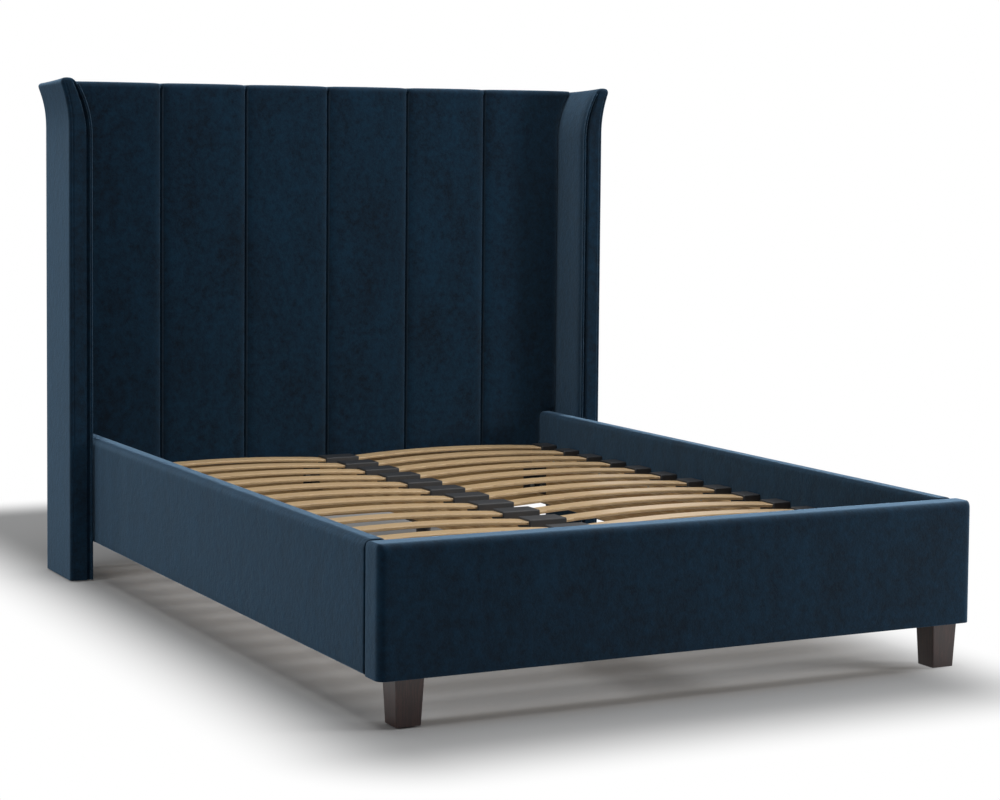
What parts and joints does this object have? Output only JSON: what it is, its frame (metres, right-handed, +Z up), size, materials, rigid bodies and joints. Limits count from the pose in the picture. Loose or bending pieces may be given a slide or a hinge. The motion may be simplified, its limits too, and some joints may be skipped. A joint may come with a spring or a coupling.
{
  "type": "bed frame",
  "caption": "Upholstered bed frame: channelled headboard between flared wings, padded rails and footboard, sprung slats on a middle beam, short tapered wooden feet",
  "frame": {"origin": "on the floor, under the middle of the whole frame", "axes": "+X across the bed, to the right seen from its foot; +Y from foot to headboard; +Z up"},
  "size_m": [1.643, 2.055, 1.33],
  "materials": {
    "velvet": "midnight-blue short-pile velvet over foam",
    "lining": "plain black woven lining",
    "pine": "planed, unfinished softwood",
    "plywood": "sanded thin plywood",
    "beech": "bent laminated slat, clear coated",
    "dark_wood": "dark stain under satin lacquer",
    "black_steel": "satin black powder coat",
    "zinc_steel": "zinc plated",
    "black_plastic": "moulded with a fine texture"
  },
  "bodies": {
    "frame": {"bracket_bolts": "zinc_steel", "centre_leg_front": "black_steel", "centre_leg_rear": "black_steel", "centre_rail": "pine", "centre_rail_hangers": "black_steel", "corner_brackets": "black_steel", "floor_glides": "black_plastic", "foot_bolts": "zinc_steel", "footboard_bottom_rail": "pine", "footboard_cover": "velvet", "footboard_front_board": "plywood", "footboard_posts": "pine", "footboard_top_rail": "pine", "front_foot_left": "dark_wood", "front_foot_right": "dark_wood", "headboard_back_lining": "lining", "headboard_bottom_rail": "pine", "headboard_channel_pad": "velvet", "headboard_face_board": "plywood", "headboard_stile_left": "pine", "headboard_stile_right": "pine", "headboard_studs": "pine", "headboard_top_rail": "pine", "side_rail_board_left": "pine", "side_rail_board_right": "pine", "side_rail_cover_left": "velvet", "side_rail_cover_right": "velvet", "slat_centre_caps": "black_plastic", "slat_end_caps": "black_plastic", "slat_ledger_left": "pine", "slat_ledger_right": "pine", "slat_row_01": "beech", "slat_row_02": "beech", "slat_row_03": "beech", "slat_row_04": "beech", "slat_row_05": "beech", "slat_row_06": "beech", "slat_row_07": "beech", "slat_row_08": "beech", "slat_row_09": "beech", "slat_row_10": "beech", "slat_row_11": "beech", "slat_row_12": "beech", "slat_row_13": "beech", "slat_row_14": "beech", "wing_bolts": "zinc_steel", "wing_cover_left": "velvet", "wing_cover_right": "velvet", "wing_front_rib_left": "pine", "wing_front_rib_right": "pine", "wing_panel_left": "plywood", "wing_panel_right": "plywood", "wing_piping_left": "velvet", "wing_piping_right": "velvet", "wing_rear_rib_left": "pine", "wing_rear_rib_right": "pine", "wood_screws": "zinc_steel"},
    "front_levelling_foot": {"levelling_foot_front": "black_plastic"},
    "rear_levelling_foot": {"levelling_foot_rear": "black_plastic"}
  },
  "joints": [
    {"name": "front_foot_level", "type": "slide", "parent": "frame", "child": "front_levelling_foot", "axis": [0, 0, -1], "range_m": [0, 0.02]},
    {"name": "rear_foot_level", "type": "slide", "parent": "frame", "child": "rear_levelling_foot", "axis": [0, 0, -1], "range_m": [0, 0.02]}
  ]
}
